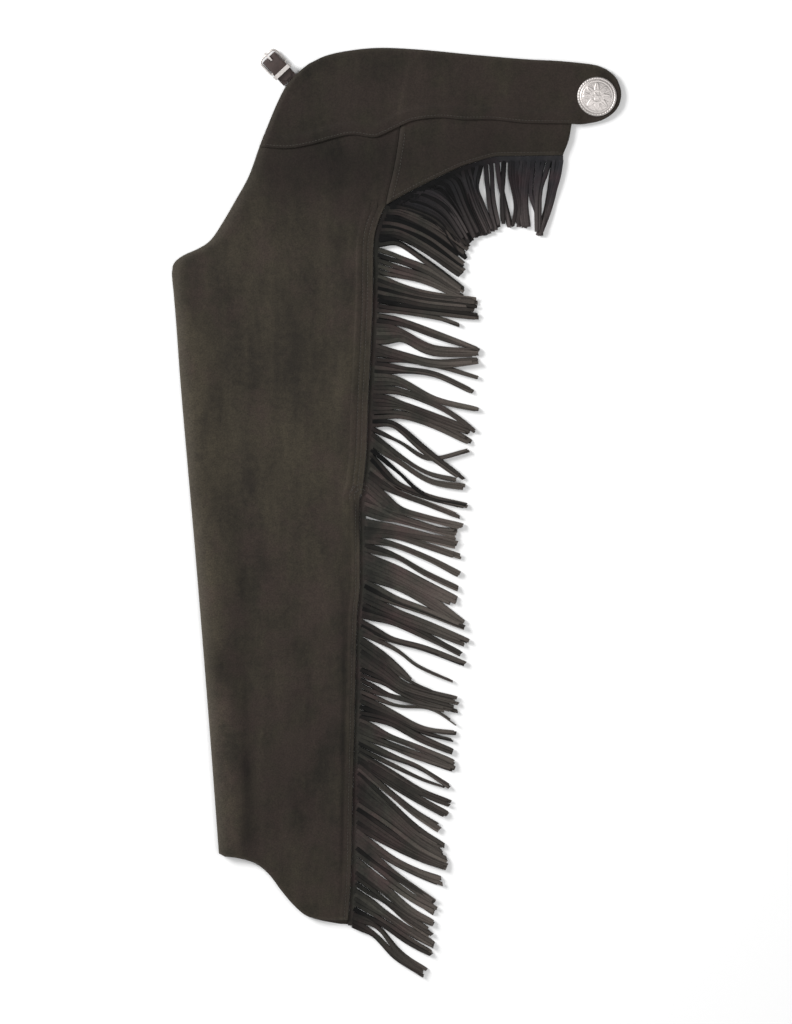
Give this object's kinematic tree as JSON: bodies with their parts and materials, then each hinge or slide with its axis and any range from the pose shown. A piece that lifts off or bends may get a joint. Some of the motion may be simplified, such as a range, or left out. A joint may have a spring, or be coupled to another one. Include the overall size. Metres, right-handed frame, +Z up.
{
  "type": "leather chaps",
  "caption": "Fringed suede chaps folded in half lengthwise and laid flat, with a belt yoke, a buckled front strap and a concho on the back tab.",
  "frame": {"origin": "on the surface that the chaps lie on, under the middle of their outline", "axes": "+X from the front edge towards the back tab, +Y from the hem towards the waist, +Z up from the surface"},
  "size_m": [0.5374, 1.1158, 0.0117],
  "materials": {
    "suede": "napped",
    "fringe_suede": "napped",
    "strap_leather": "smooth",
    "silver": "polished"
  },
  "bodies": {
    "root": {"hidden_layers": "suede", "leg_panel": "suede", "hip_panel": "suede", "yoke": "suede", "fringe_leg_upper": "fringe_suede", "fringe_hip_upper": "fringe_suede", "fringe_leg_lower": "fringe_suede", "fringe_hip_lower": "fringe_suede", "concho": "silver", "front_strap": "strap_leather", "billet": "strap_leather", "buckle_frame": "silver", "buckle_prong": "silver", "buckle_keeper": "silver"}
  },
  "joints": []
}
